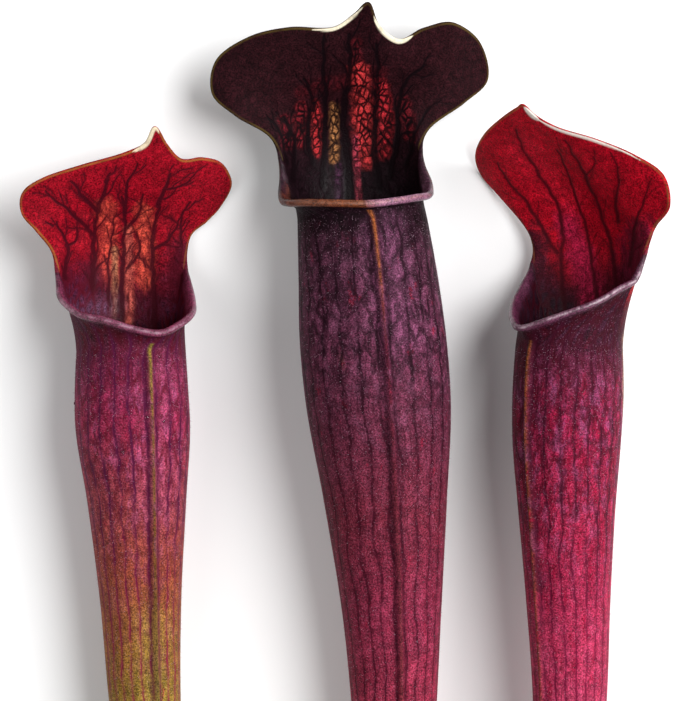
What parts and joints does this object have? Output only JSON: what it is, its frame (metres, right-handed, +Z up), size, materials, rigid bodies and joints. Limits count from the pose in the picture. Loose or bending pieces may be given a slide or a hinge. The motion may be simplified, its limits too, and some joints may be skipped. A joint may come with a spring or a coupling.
{
  "type": "lifted pitcher plant",
  "caption": "Lifted red pitcher plant lying on its back: hollow trumpet leaves with rolled lips and arched, veined lids on a creeping rhizome with roots.",
  "frame": {"origin": "centre of the bounding box at the surface the plant lies on", "axes": "+Y from the roots towards the lids, +Z up from the surface, out of the fronts of the pitchers, +X to the right as the lids are seen"},
  "size_m": [0.1844, 0.5133, 0.0441],
  "materials": {
    "left_leaf": "satin leaf, crimson lid with maroon veins, mauve tube turning olive below",
    "middle_leaf": "satin leaf, near-black maroon lid with red windows, dusky purple tube",
    "right_leaf": "satin leaf, crimson lid with dark veins, pink and crimson tube",
    "rhizome": "rough brown bark and pale brown roots"
  },
  "bodies": {
    "root": {"pitcher_left": "left_leaf", "pitcher_middle": "middle_leaf", "pitcher_right": "right_leaf", "rhizome_with_roots": "rhizome"}
  },
  "joints": []
}
